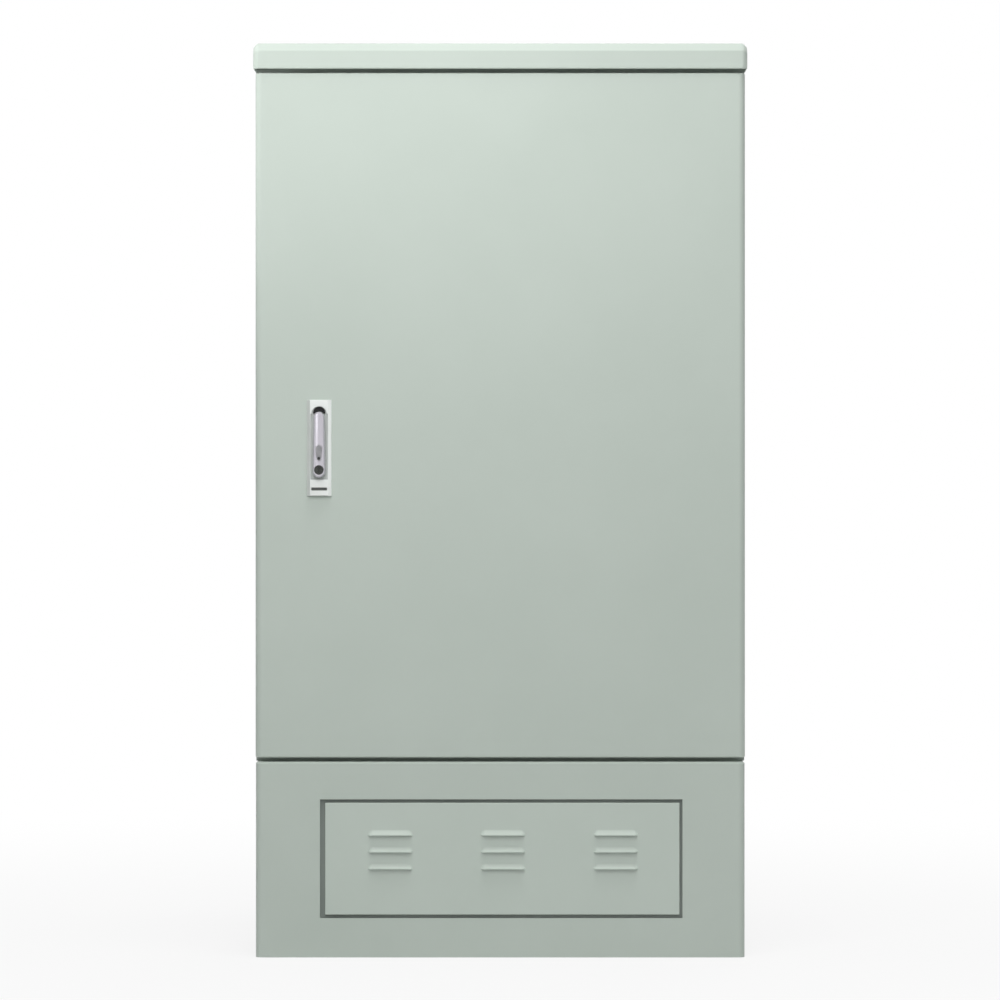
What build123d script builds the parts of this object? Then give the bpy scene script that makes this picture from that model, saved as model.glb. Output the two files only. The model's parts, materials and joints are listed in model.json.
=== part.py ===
"""Roadside utility cabinet: a painted sheet-steel street cabinet for telecom terminations.

A folded body shell stands on a plinth with a louvred access panel. One overlay door covers the front and
swings on concealed hinges at its right edge. A swing-handle lock at its left edge drives two lock rods.
Inside are equipment uprights with termination modules, a cable tie rail, an earth bar and a gland plate.

Millimetres. +Z is up, the front faces -Y, and the origin is the centre of the footprint on the ground.
"""

import os
from math import radians, sin

from build123d import *

# Driving sizes of the whole cabinet
body_width = 750.0
body_depth = 320.0
overall_height = 1400.0
sheet = 2.0
corner_radius = 10.0
sill_reveal = 6.5
head_reveal = 6.0
hexagon_sides = 6
half_turn = 180.0

# Plinth and its front window
plinth_height = 299.5
plinth_inset = 0.5
plinth_sheet = 3.0
plinth_flange = 45.0
plinth_hollow_chamfer = 4.0
plinth_top_chamfer = 2.4
window_margin = 97.5
window_shift = 1.5
window_height = 182.0
window_sill_height = 60.0
anchor_margin_x = 30.0
anchor_margin_y = 29.0
anchor_hole_radius = 7.0

# Louvred access panel
panel_side_gap = 4.5
panel_level_gap = 5.4
panel_shift = 1.7
panel_sheet = 1.5
panel_clearance = 0.2
panel_edge_chamfer = 0.8
ledge_lap = 14.0
ledge_cover = 14.0
ledge_step = 3.0
ledge_room = 3.0
louvre_columns = 3
louvre_rows = 3
louvre_margin = 105.0
louvre_pitch_z = 25.8
louvre_rise = 14.2
louvre_shift = 1.0
louvre_length = 68.0
louvre_top_length = 60.0
louvre_height = 8.8
louvre_projection = 5.0
louvre_lip = 1.4
louvre_sheet = 1.2
louvre_bend_rise_share = 0.45
louvre_bend_out_share = 0.35
tab_width = 40.0
tab_margin = 98.0
tab_length = 22.0
tab_thickness = 2.0
tab_clearance = 0.3
clip_width = 24.0
clip_margin = 128.0
clip_length = 26.0
clip_thickness = 1.0
clip_bump = 1.0

# Roof cap
roof_height = 40.0
roof_overhang = 3.5
roof_bevel_height = 12.0
roof_bevel_depth = 11.0
roof_end_chamfer = 6.0
roof_hollow_chamfer = 4.8
roof_foot_chamfer = 1.4
roof_lap = 12.0
spacer_width = 60.0
spacer_top = 30.0
spacer_margin = 115.0
spacer_inset = 60.0
roof_bolt_inset = 30.0

# Door, its gutter frame and seal
door_depth = 24.0
door_gap = 5.0
door_edge_chamfer = 1.5
frame_web = 37.0
frame_return = 25.0
lip_depth = 15.0
seal_width = 18.0
seal_clearance = 0.3
stiffener_inset = 205.0
stiffener_width = 60.0
stiffener_foot = 14.0
stiffener_depth = 15.0
stiffener_margin = 60.0

# Concealed hinges
hinge_inset = 8.0
hinge_margin = 190.0
hinge_pin_radius = 3.0
knuckle_radius = 5.5
knuckle_sides = 8
knuckle_length = 44.0
hinge_strap = 3.0
hinge_leg_offset = 16.0
hinge_foot = 15.0
lug_thickness = 10.0
lug_clearance = 0.3
lug_reach = 4.8
running_clearance = 0.05

# Swing-handle lock on the door's face
lock_from_left = 98.0
lock_base_height = 147.0
lock_base_width = 37.5
lock_base_center_height = 780.0
lock_base_proud = 6.0
lock_base_edge_chamfer = 0.8
lock_rim = 5.6
lock_bevel = 5.0
lock_side_height = 2.5
tray_floor = 2.5
tray_bottom_rise = 25.0
arch_radius = 11.5
arch_drop = 21.5
arch_well_radius = 9.5
arch_well_drop = 20.0
arch_well_depth = 6.8
lock_slot_width = 24.5
lock_slot_height = 4.6
lock_slot_rise = 10.5
lock_slot_depth = 3.0
lock_neck_width = 24.0
lock_neck_height = 130.0
pivot_drop = 27.0
handle_clearance = 0.5
handle_thickness = 10.0
handle_top_radius = 8.4
handle_end_radius = 9.8
handle_edge_chamfer = 2.4
handle_length = 82.0
handle_lift_height = 4.5
handle_relief_rise = 2.0
handle_relief_depth = 5.5
handle_pin_radius = 2.0
tongue_width = 7.0
tongue_radius = 3.2
tongue_clearance = 0.4
tongue_pocket_rise = 6.5
hub_radius = 8.0
hub_thickness = 2.7
barrel_drop = 80.4
barrel_radius = 7.3
barrel_square = 10.2
barrel_proud = 0.3
plug_radius = 4.6
plug_length = 8.6
keyway_width = 1.4
keyway_height = 6.4
keyway_depth = 5.0
cover_drop = 62.8
cover_length = 15.0
cover_end_radius = 5.2
cover_root_radius = 3.6
cover_thickness = 1.2
cover_lift = 0.6
rivet_radius = 2.2
rivet_square = 2.2
rivet_proud = 0.5

# Lock works behind the door
housing_width = 34.0
housing_height = 140.0
housing_depth = 26.0
housing_edge_chamfer = 3.0
spindle_square = 7.0
spindle_bore_radius = 5.05
cam_gap = 0.5
cam_thickness = 3.0
crank_radius = 18.0
crank_rest_angle = 135.0
crank_pin_radius = 3.0
crank_margin = 5.0
crank_width = 16.0
cam_screw_radius = 4.0
cam_screw_head = 1.6
rod_gap = 1.0
rod_width = 20.0
rod_thickness = 3.0
rod_tail = 14.0
rod_tip_clearance = 1.0
rod_tip_chamfer = 4.0
rod_slot_clearance = 0.8
crank_sway_share = 0.08
crank_pin_tail = 2.0
guide_wall = 3.0
guide_width = 34.0
guide_height = 18.0
guide_clearance = 0.4
guide_margin = 70.0
lock_screw_radius = 2.1
lock_screw_head_radius = 4.5
lock_screw_head = 3.0
lock_screw_drops = (40.0, 98.0)
lock_screw_bite = 3.0

# Equipment frame and termination modules
rack_hole_spacing = 465.1
rack_unit = 44.45
rack_hole = 9.5
rack_holes = 18
upright_width = 40.0
upright_depth = 30.0
upright_front = 82.0
upright_height = 960.0
upright_margin = 97.5
cross_rail_height = 34.0
cross_rail_depth = 34.0
cross_rail_margin = 24.0
module_count = 4
module_units = 2
module_first_hole = 1
module_pitch_holes = 3
module_flange_width = 482.6
module_flange_thickness = 3.0
module_gap = 1.0
module_body_width = 400.0
module_body_depth = 110.0
module_face_height = 62.0
module_face_depth = 10.0
strip_rows = 2
strip_pitch = 27.0
strip_length = 370.0
strip_height = 19.0
strip_proud = 8.0
module_screw_radius = 2.5
module_screw_head_radius = 5.5
module_screw_head = 3.0
module_screw_length = 14.0

# Cable entry, tie rail and earth bar
gland_margin = 70.0
gland_depth = 150.0
gland_thickness = 3.0
gland_lap = 25.0
gland_center_y = -10.0
gland_screw_radius = 2.5
gland_screw_head_radius = 5.5
gland_screw_head = 3.5
grommet_count = 3
grommet_spacing = 180.0
grommet_bore_radius = 25.0
grommet_neck_width = 62.0
grommet_flange_width = 74.0
grommet_flange = 4.0
tie_rail_height = 40.0
tie_rail_depth = 18.0
tie_rail_rise = 68.5
earth_bar_length = 240.0
earth_bar_height = 25.0
earth_bar_thickness = 5.0
earth_bar_level = 112.5
earth_standoff = 22.0
earth_standoff_radius = 9.0
earth_standoff_spacing = 200.0
earth_bolt_count = 4
earth_bolt_spacing = 38.0
earth_bolt_radius = 2.5
earth_bolt_head_radius = 5.5
earth_bolt_head = 4.0
body_bolt_margin_x = 21.5
body_bolt_margin_y = 45.0
body_bolt_radius = 4.2
body_bolt_head_radius = 9.0
body_bolt_head = 6.5
bolt_hole_clearance = 0.5

# Levels and planes that the pieces share
half_width = body_width / 2
window_width = body_width - 2 * window_margin
anchor_spacing_x = body_width - 2 * anchor_margin_x
anchor_spacing_y = body_depth - 2 * anchor_margin_y
body_bolt_spacing_x = body_width - 2 * body_bolt_margin_x
body_bolt_spacing_y = body_depth - 2 * body_bolt_margin_y
spacer_spacing = body_width - 2 * spacer_margin
spacer_length = body_depth - 2 * spacer_inset
roof_bolt_spacing = spacer_length - 2 * roof_bolt_inset
stiffener_spacing = body_width - 2 * stiffener_inset
gland_width = body_width - 2 * gland_margin
door_front = -body_depth / 2
door_inner = door_front + sheet
door_rear = door_front + door_depth
body_front = door_rear + door_gap
body_back = body_depth / 2
roof_bottom = overall_height - roof_height
door_bottom = plinth_height + sill_reveal
door_top = roof_bottom - head_reveal
door_height = door_top - door_bottom
door_middle = (door_top + door_bottom) / 2
body_bottom = plinth_height
body_top = roof_bottom + roof_lap
wall_inner = half_width - sheet
floor_top = body_bottom + sheet
ceiling = body_top - sheet
frame_inner = wall_inner - frame_web
lip_front = body_front - lip_depth
lip_bottom = door_bottom + half_width - frame_inner - sheet
lip_top = door_top - half_width + frame_inner + sheet
plinth_front = door_front + plinth_inset
plinth_width = body_width - 2 * plinth_inset
plinth_depth = body_depth - 2 * plinth_inset
window_middle = window_sill_height + window_height / 2
pin_x = half_width - hinge_inset
pin_y = door_rear - hinge_inset
hinge_levels = (door_bottom + hinge_margin, door_top - hinge_margin)
lock_x = lock_from_left - half_width
lock_base_top = lock_base_center_height + lock_base_height / 2
lock_base_bottom = lock_base_center_height - lock_base_height / 2
pivot_z = lock_base_top - pivot_drop
tray_face = door_front - tray_floor
base_face = door_front - lock_base_proud
handle_back = base_face - handle_clearance
handle_front = handle_back - handle_thickness
lift_y = handle_back - handle_lift_height
lock_screw_places = [(lock_x, pivot_z - drop) for drop in lock_screw_drops]
housing_back = door_inner + housing_depth
cam_front = housing_back + cam_gap
cam_back = cam_front + cam_thickness
rod_front = cam_back + rod_gap
rod_back = rod_front + rod_thickness
rack_front = door_front + upright_front
upright_bottom = body_bottom + upright_margin
upright_top = upright_bottom + upright_height
upright_back = rack_front + upright_depth
body_bolt_hole = 2 * (body_bolt_radius + bolt_hole_clearance)
gland_screw_hole = 2 * (gland_screw_radius + bolt_hole_clearance)
earth_bolt_hole = 2 * (earth_bolt_radius + bolt_hole_clearance)
module_screw_hole = 2 * (module_screw_radius + bolt_hole_clearance)
lock_screw_hole = 2 * (lock_screw_radius + running_clearance)
barrel_seat = barrel_square + 2 * running_clearance
rivet_eye = rivet_square + 2 * running_clearance
cam_eye = spindle_square + 2 * running_clearance


def front_plane(y):
    """Plane at depth y whose sketches are drawn as seen from the front, and whose normal faces forward."""
    return Plane.XZ.offset(-y)


def side_plane(x):
    """Plane at x whose sketches are drawn in Y and Z, and whose normal faces +X."""
    return Plane.YZ.offset(x)


def write(piece, name):
    """Labels a finished piece and writes it as a STEP file of that name."""
    piece.part.label = name
    export_step(piece.part, f"parts/{name}.step")


def body_plan(level, inset):
    """The body's outline in plan, drawn in by inset at its sides and back and cut off at its front."""
    with BuildSketch(Plane.XY.offset(level)) as plan:
        RectangleRounded(body_width - 2 * inset, body_depth - 2 * inset, corner_radius - inset)
        with Locations((0, (door_front + body_front) / 2)):
            Rectangle(body_width, body_front - door_front, mode=Mode.SUBTRACT)
    return plan.sketch


def fastener(radius, length, head_radius, head):
    """A hexagon-headed bolt with a square shank along +Z, and the seat of its head at the origin."""
    with BuildPart() as screw:
        with BuildSketch(Plane.XY.offset(-head)):
            RegularPolygon(head_radius, hexagon_sides)
        extrude(amount=head)
        with BuildSketch(Plane.XY):
            Rectangle(2 * radius, 2 * radius)
        extrude(amount=length)
    return screw.part


os.makedirs("parts", exist_ok=True)


# Plinth: a welded ring with turned-in flanges, a window in front and anchor holes in the foot

with BuildPart() as plinth:
    with BuildSketch(Plane.XY):
        RectangleRounded(plinth_width, plinth_depth, corner_radius)
    extrude(amount=plinth_height)
    chamfer(plinth.faces().sort_by(Axis.Z)[-1].edges(), plinth_top_chamfer)
    with BuildSketch(Plane.XY.offset(plinth_sheet)) as plinth_hollow:
        Rectangle(plinth_width - 2 * plinth_sheet, plinth_depth - 2 * plinth_sheet)
        chamfer(plinth_hollow.vertices(), plinth_hollow_chamfer)
    extrude(amount=plinth_height - 2 * plinth_sheet, mode=Mode.SUBTRACT)
    with BuildSketch(Plane.XY):
        Rectangle(plinth_width - 2 * plinth_flange, plinth_depth - 2 * plinth_flange)
    extrude(amount=plinth_height, mode=Mode.SUBTRACT)
    with BuildSketch(front_plane(plinth_front)):
        with Locations((window_shift, window_middle)):
            Rectangle(window_width, window_height)
    extrude(amount=-plinth_sheet, mode=Mode.SUBTRACT)
    with Locations(Plane.XY.offset(plinth_sheet)):
        with GridLocations(anchor_spacing_x, anchor_spacing_y, 2, 2):
            Hole(anchor_hole_radius, depth=plinth_sheet)
    with BuildSketch(Plane.XY.offset(plinth_height)):
        with GridLocations(body_bolt_spacing_x, body_bolt_spacing_y, 2, 2):
            Rectangle(body_bolt_hole, body_bolt_hole)
    extrude(amount=-plinth_sheet, mode=Mode.SUBTRACT)
write(plinth, "plinth")


# Access panel: a louvred plate in the window, held against a ledge by tabs below and spring clips above

panel_width = window_width - 2 * panel_side_gap - 2 * panel_shift
panel_height = window_height - 2 * panel_level_gap
panel_x = window_shift + panel_shift
ledge_front = plinth_front + plinth_sheet
panel_back = ledge_front + ledge_step - panel_clearance
ledge_width = panel_width - 2 * ledge_lap
ledge_height = panel_height - 2 * ledge_lap
louvre_middle = window_middle + louvre_rise
louvre_pitch_x = (window_width - 2 * louvre_margin) / (louvre_columns - 1)
tab_spacing = window_width - 2 * tab_margin
clip_spacing = window_width - 2 * clip_margin

with BuildPart() as window_frame:
    with BuildSketch(front_plane(ledge_front)):
        with Locations((window_shift, window_middle)):
            Rectangle(window_width + 2 * ledge_cover, window_height + 2 * ledge_cover)
        with Locations((panel_x, window_middle)):
            Rectangle(ledge_width, ledge_height, mode=Mode.SUBTRACT)
    extrude(amount=-ledge_step - sheet)
    with BuildSketch(front_plane(ledge_front)):
        with Locations((window_shift, window_middle)):
            Rectangle(window_width + 2 * ledge_room, window_height + 2 * ledge_room)
    extrude(amount=-ledge_step, mode=Mode.SUBTRACT)
write(window_frame, "window_frame")


def louvre_form(length, top_length, height, lip, back, front):
    """A hood that stands on a trapezium and sweeps out to a lip along its lower edge."""
    foot = -louvre_height / 2
    bend_level = foot + lip + (height - lip) * louvre_bend_rise_share
    bend_out = back + (front - back) * louvre_bend_out_share
    with BuildPart() as form:
        with BuildSketch(Plane.YZ.offset(-length / 2)):
            with BuildLine():
                Polyline(
                    (foot, back),
                    (foot, front),
                    (foot + lip, front),
                    (bend_level, bend_out),
                    (foot + height, back),
                    close=True,
                )
            make_face()
        extrude(amount=length)
        with BuildSketch(Plane.XY.offset(back)):
            with BuildLine():
                Polyline(
                    (-length / 2, foot),
                    (length / 2, foot),
                    (top_length / 2, foot + height),
                    (-top_length / 2, foot + height),
                    close=True,
                )
            make_face()
        extrude(amount=front - back, mode=Mode.INTERSECT)
    return form.part


louvre_hood = louvre_form(louvre_length, louvre_top_length, louvre_height, louvre_lip, 0, louvre_projection)
louvre_hollow = louvre_form(
    louvre_length - 2 * louvre_sheet,
    louvre_top_length - 2 * louvre_sheet,
    louvre_height - louvre_sheet,
    louvre_lip / 2,
    -panel_sheet,
    louvre_projection - louvre_sheet,
)

with BuildPart() as access_panel:
    with BuildSketch(front_plane(panel_back)):
        with Locations((panel_x, window_middle)):
            Rectangle(panel_width, panel_height)
    extrude(amount=panel_back - plinth_front)
    offset(amount=-panel_sheet, openings=access_panel.faces().sort_by(Axis.Y)[-1])
    chamfer(access_panel.faces().sort_by(Axis.Y)[0].edges(), panel_edge_chamfer)
    with Locations(front_plane(plinth_front)):
        with Locations((panel_x + louvre_shift, louvre_middle)):
            with GridLocations(louvre_pitch_x, louvre_pitch_z, louvre_columns, louvre_rows):
                add(louvre_hood)
                add(louvre_hollow, mode=Mode.SUBTRACT)
write(access_panel, "access_panel")

tab_front = plinth_front + panel_sheet
tab_bottom = window_middle - ledge_height / 2 + tab_clearance
clip_top = window_middle + ledge_height / 2 - tab_clearance

with BuildPart() as panel_tabs:
    with Locations((panel_x, tab_front, tab_bottom)):
        with GridLocations(tab_spacing, 0, 2, 1):
            Box(tab_width, tab_length, tab_thickness, align=(Align.CENTER, Align.MIN, Align.MIN))
write(panel_tabs, "access_panel_tabs")

with BuildPart() as panel_clip:
    with BuildSketch(side_plane(-clip_width / 2)):
        with BuildLine():
            Polyline(
                (tab_front, clip_top - clip_bump),
                (tab_front + clip_length / 2, clip_top),
                (tab_front + clip_length, clip_top - clip_bump),
                (tab_front + clip_length, clip_top - clip_bump - clip_thickness),
                (tab_front, clip_top - clip_bump - clip_thickness),
                close=True,
            )
        make_face()
    extrude(amount=clip_width)

with BuildPart() as panel_clips:
    with Locations((panel_x, 0, 0)):
        with GridLocations(clip_spacing, 0, 2, 1):
            add(panel_clip.part)
write(panel_clips, "access_panel_clips")


# Body: a shell folded from one sheet, a floor, a top and the four bars of the gutter frame round the doorway

with BuildPart() as body_shell:
    extrude(body_plan(body_bottom, 0), amount=body_top - body_bottom)
    extrude(body_plan(body_bottom, sheet), amount=body_top - body_bottom, mode=Mode.SUBTRACT)
write(body_shell, "body_shell")

with BuildPart() as floor_panel:
    extrude(body_plan(body_bottom, sheet), amount=sheet)
    with BuildSketch(Plane.XY.offset(body_bottom)):
        with GridLocations(body_bolt_spacing_x, body_bolt_spacing_y, 2, 2):
            Rectangle(body_bolt_hole, body_bolt_hole)
        with Locations((0, gland_center_y)):
            Rectangle(gland_width - 2 * gland_lap, gland_depth - 2 * gland_lap)
            with GridLocations(gland_width - gland_lap, gland_depth - gland_lap, 2, 2):
                Rectangle(gland_screw_hole, gland_screw_hole)
    extrude(amount=sheet, mode=Mode.SUBTRACT)
write(floor_panel, "floor_panel")

with BuildPart() as top_panel:
    extrude(body_plan(ceiling, sheet), amount=sheet)
    with BuildSketch(Plane.XY.offset(ceiling)):
        with GridLocations(spacer_spacing, roof_bolt_spacing, 2, 2):
            Rectangle(body_bolt_hole, body_bolt_hole)
    extrude(amount=sheet, mode=Mode.SUBTRACT)
write(top_panel, "top_panel")


def frame_stile(side):
    """One upright bar of the gutter frame: a web, a return along the body wall and a lip at the seal."""
    with BuildPart() as stile:
        with BuildSketch(Plane.XY.offset(floor_top)):
            with Locations((side * (wall_inner - frame_web / 2), body_front + sheet / 2)):
                Rectangle(frame_web, sheet)
            with Locations((side * (wall_inner - sheet / 2), body_front + frame_return / 2)):
                Rectangle(sheet, frame_return)
        extrude(amount=ceiling - floor_top)
        with BuildSketch(Plane.XY.offset(lip_bottom)):
            with Locations((side * (frame_inner + sheet / 2), body_front - lip_depth / 2)):
                Rectangle(sheet, lip_depth)
        extrude(amount=lip_top - lip_bottom)
    return stile


def frame_rail(wall_level, lip_level, side):
    """One level bar of the gutter frame between the stiles, with side 1 at the head and -1 at the sill."""
    with BuildPart() as rail:
        with BuildSketch(side_plane(-frame_inner)):
            with Locations((body_front + sheet / 2, (wall_level + lip_level) / 2)):
                Rectangle(sheet, abs(wall_level - lip_level))
            with Locations((body_front + frame_return / 2, wall_level - side * sheet / 2)):
                Rectangle(frame_return, sheet)
            with Locations((body_front - lip_depth / 2, lip_level + side * sheet / 2)):
                Rectangle(lip_depth, sheet)
        extrude(amount=2 * frame_inner)
    return rail


write(frame_stile(-1), "frame_left_stile")
write(frame_stile(1), "frame_right_stile")
write(frame_rail(ceiling, lip_top - sheet, 1), "frame_head")
write(frame_rail(floor_top, lip_bottom + sheet, -1), "frame_sill")

body_bolt_length = plinth_sheet + sheet + body_bolt_head
body_bolt = fastener(body_bolt_radius, body_bolt_length, body_bolt_head_radius, body_bolt_head)

with BuildPart() as body_bolts:
    with Locations(Plane.XY.offset(floor_top).rotated((half_turn, 0, 0))):
        with GridLocations(body_bolt_spacing_x, body_bolt_spacing_y, 2, 2):
            add(body_bolt)
write(body_bolts, "body_bolts")


# Roof cap: a pan bevelled along its front and back, on two hat-shaped spacers bolted through the top panel

roof_width = body_width + 2 * roof_overhang
roof_depth = body_depth + 2 * roof_overhang


def roof_form(inset, end_chamfer):
    """The roof's outside, or its hollow drawn in by inset at the top, the sides, the front and the back."""
    edge = roof_depth / 2 - inset
    crown = overall_height - inset
    with BuildPart() as form:
        with BuildSketch(side_plane(inset - roof_width / 2)):
            with BuildLine():
                Polyline(
                    (-edge, roof_bottom),
                    (-edge, crown - roof_bevel_height),
                    (roof_bevel_depth - edge, crown),
                    (edge - roof_bevel_depth, crown),
                    (edge, crown - roof_bevel_height),
                    (edge, roof_bottom),
                    close=True,
                )
            make_face()
        extrude(amount=roof_width - 2 * inset)
        ends = form.faces().filter_by(Axis.X)
        foot = form.faces().sort_by(Axis.Z)[0]
        chamfer([edge for edge in ends.edges() if edge not in foot.edges()], end_chamfer)
    return form.part


with BuildPart() as roof_cap:
    add(roof_form(0, roof_end_chamfer))
    chamfer(roof_cap.faces().sort_by(Axis.Z)[0].edges(), roof_foot_chamfer)
    add(roof_form(sheet, roof_hollow_chamfer), mode=Mode.SUBTRACT)
write(roof_cap, "roof_cap")

spacer_height = overall_height - sheet - body_top

with BuildPart() as roof_spacer:
    with BuildSketch(front_plane(spacer_length / 2)):
        with Locations((0, body_top + sheet / 2)):
            Rectangle(spacer_width, sheet)
        with Locations((0, body_top + spacer_height / 2)):
            Rectangle(spacer_top, spacer_height)
            Rectangle(spacer_top - 2 * sheet, spacer_height - 2 * sheet, mode=Mode.SUBTRACT)
    extrude(amount=spacer_length)
    with BuildSketch(Plane.XY.offset(body_top)):
        with GridLocations(0, roof_bolt_spacing, 1, 2):
            Rectangle(body_bolt_hole, body_bolt_hole)
    extrude(amount=sheet, mode=Mode.SUBTRACT)

with BuildPart() as roof_spacers:
    with GridLocations(spacer_spacing, 0, 2, 1):
        add(roof_spacer.part)
write(roof_spacers, "roof_spacers")

roof_bolt = fastener(body_bolt_radius, 2 * sheet + body_bolt_head, body_bolt_head_radius, body_bolt_head)

with BuildPart() as roof_bolts:
    with Locations(Plane.XY.offset(ceiling)):
        with GridLocations(spacer_spacing, roof_bolt_spacing, 2, 2):
            add(roof_bolt)
write(roof_bolts, "roof_bolts")


# Door: a pan with rounded upright edges, two hat stiffeners, a seal and the lugs of its hinges

with BuildPart() as door_panel:
    with BuildSketch(front_plane(door_rear)):
        with Locations((0, door_middle)):
            Rectangle(body_width, door_height)
    extrude(amount=door_depth)
    upright_edges = door_panel.faces().sort_by(Axis.Y)[0].edges().filter_by(Axis.Z)
    fillet(upright_edges, corner_radius)
    offset(amount=-sheet, openings=door_panel.faces().sort_by(Axis.Y)[-1])
    level_faces = door_panel.faces().sort_by(Axis.Z)
    chamfer(level_faces[0].edges().sort_by(Axis.Y)[:-1], door_edge_chamfer)
    chamfer(level_faces[-1].edges().sort_by(Axis.Y)[:-1], door_edge_chamfer)
    with BuildSketch(front_plane(door_inner)):
        with Locations((lock_x, lock_base_center_height)):
            Rectangle(lock_neck_width, lock_neck_height)
    extrude(amount=sheet, mode=Mode.SUBTRACT)
write(door_panel, "door_panel")

stiffener_length = lip_top - lip_bottom - 2 * stiffener_margin
stiffener_crown = stiffener_width - 2 * stiffener_foot

with BuildPart() as door_stiffeners:
    with BuildSketch(Plane.XY.offset(door_middle - stiffener_length / 2)):
        with GridLocations(stiffener_spacing, 0, 2, 1):
            with Locations((0, door_inner + sheet / 2)):
                Rectangle(stiffener_width, sheet)
            with Locations((0, door_inner + stiffener_depth / 2)):
                Rectangle(stiffener_crown, stiffener_depth)
                Rectangle(stiffener_crown - 2 * sheet, stiffener_depth - 2 * sheet, mode=Mode.SUBTRACT)
    extrude(amount=stiffener_length)
write(door_stiffeners, "door_stiffeners")

seal_line_width = 2 * frame_inner + sheet
seal_line_height = lip_top - lip_bottom - sheet

with BuildPart() as door_seal:
    with BuildSketch(front_plane(door_inner)):
        with Locations((0, door_middle)):
            Rectangle(seal_line_width + seal_width, seal_line_height + seal_width)
            Rectangle(seal_line_width - seal_width, seal_line_height - seal_width, mode=Mode.SUBTRACT)
    extrude(amount=door_inner - lip_front + seal_clearance)
write(door_seal, "door_seal")

with BuildPart() as hinge_knuckle:
    with BuildSketch(Plane.XY.offset(-knuckle_length / 2)):
        RegularPolygon(knuckle_radius, knuckle_sides, major_radius=False)
        with Locations((-hinge_leg_offset, -knuckle_radius)):
            Rectangle(hinge_leg_offset, hinge_strap, align=Align.MIN)
            Rectangle(hinge_strap, body_front - pin_y + knuckle_radius, align=Align.MIN)
        with Locations((hinge_strap - hinge_leg_offset, body_front - pin_y)):
            Rectangle(hinge_foot, hinge_strap, align=Align.MAX)
        Circle(hinge_pin_radius + running_clearance, mode=Mode.SUBTRACT)
    extrude(amount=knuckle_length)

with BuildPart() as hinge_lug:
    with BuildSketch(Plane.XY.offset(-lug_thickness / 2)):
        with Locations((-lug_reach, 0)):
            Rectangle(lug_reach + hinge_inset - sheet, 2 * lug_reach, align=(Align.MIN, Align.CENTER))
    extrude(amount=lug_thickness)

lug_offset = (knuckle_length + lug_thickness) / 2 + lug_clearance
pin_length = knuckle_length + lug_clearance

with BuildPart() as hinge_brackets:
    with Locations(*[(pin_x, pin_y, level) for level in hinge_levels]):
        add(hinge_knuckle.part)
write(hinge_brackets, "hinge_brackets")

with BuildPart() as hinge_lugs:
    with Locations(*[(pin_x, pin_y, level + lug_offset) for level in hinge_levels]):
        add(hinge_lug.part)
write(hinge_lugs, "hinge_lugs")

with BuildPart() as hinge_pins:
    with Locations(*[(pin_x, pin_y, level - knuckle_length / 2) for level in hinge_levels]):
        Cylinder(hinge_pin_radius, pin_length, align=(Align.CENTER, Align.CENTER, Align.MIN))
write(hinge_pins, "hinge_pins")


# Lock base: a cast bezel with bevelled sides, a sunk tray, an arch over the handle's pivot and a slot below

half_base = lock_base_width / 2
half_face = half_base - lock_bevel

with BuildPart() as lock_base:
    with BuildSketch(Plane(origin=(lock_x, door_front, lock_base_bottom))):
        with BuildLine():
            Polyline(
                (-half_base, 0),
                (half_base, 0),
                (half_base, -lock_side_height),
                (half_face, -lock_base_proud),
                (-half_face, -lock_base_proud),
                (-half_base, -lock_side_height),
                close=True,
            )
        make_face()
    extrude(amount=lock_base_height)
    chamfer(lock_base.faces().sort_by(Axis.Y)[0].edges().filter_by(Axis.X), lock_base_edge_chamfer)
    with BuildSketch(front_plane(door_inner)):
        with Locations((lock_x, lock_base_center_height)):
            Rectangle(lock_neck_width, lock_neck_height)
    extrude(amount=sheet)
    tray_bottom = lock_base_bottom + tray_bottom_rise
    tray_top = lock_base_top - arch_drop
    with BuildSketch(front_plane(base_face)):
        with Locations((lock_x, tray_bottom)):
            Rectangle(
                lock_base_width - 2 * lock_rim, tray_top - tray_bottom, align=(Align.CENTER, Align.MIN)
            )
        with Locations((lock_x, tray_top)):
            Circle(arch_radius)
    extrude(amount=tray_floor - lock_base_proud, mode=Mode.SUBTRACT)
    with BuildSketch(front_plane(base_face)):
        with Locations((lock_x, lock_base_top - arch_well_drop)):
            Circle(arch_well_radius)
    extrude(amount=-arch_well_depth, mode=Mode.SUBTRACT)
    with BuildSketch(front_plane(base_face)):
        with Locations((lock_x, lock_base_bottom + lock_slot_rise)):
            Rectangle(lock_slot_width, lock_slot_height)
    extrude(amount=-lock_slot_depth, mode=Mode.SUBTRACT)
    with Locations(front_plane(tray_face)):
        with Locations((lock_x, pivot_z)):
            Hole(spindle_bore_radius, depth=tray_floor + sheet)
    with BuildSketch(front_plane(door_inner)):
        with Locations(*lock_screw_places):
            Rectangle(lock_screw_hole, lock_screw_hole)
    extrude(amount=lock_screw_bite, mode=Mode.SUBTRACT)
write(lock_base, "lock_base")

with BuildPart() as lock_housing:
    with BuildSketch(front_plane(housing_back)):
        with Locations((lock_x, lock_base_center_height)):
            Rectangle(housing_width, housing_height)
            with Locations(*[(0, pivot_z - drop - lock_base_center_height) for drop in lock_screw_drops]):
                Rectangle(lock_screw_hole, lock_screw_hole, mode=Mode.SUBTRACT)
    extrude(amount=housing_depth)
    chamfer(lock_housing.faces().sort_by(Axis.Y)[-1].outer_wire().edges(), housing_edge_chamfer)
    with Locations(front_plane(door_inner)):
        with Locations((lock_x, pivot_z)):
            Hole(spindle_bore_radius, depth=housing_depth)
write(lock_housing, "lock_housing")

lock_screw_length = housing_depth + lock_screw_bite
lock_screw = fastener(lock_screw_radius, lock_screw_length, lock_screw_head_radius, lock_screw_head)

with BuildPart() as lock_screws:
    with Locations(front_plane(housing_back)):
        with Locations(*lock_screw_places):
            add(lock_screw)
write(lock_screws, "lock_screws")


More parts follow.
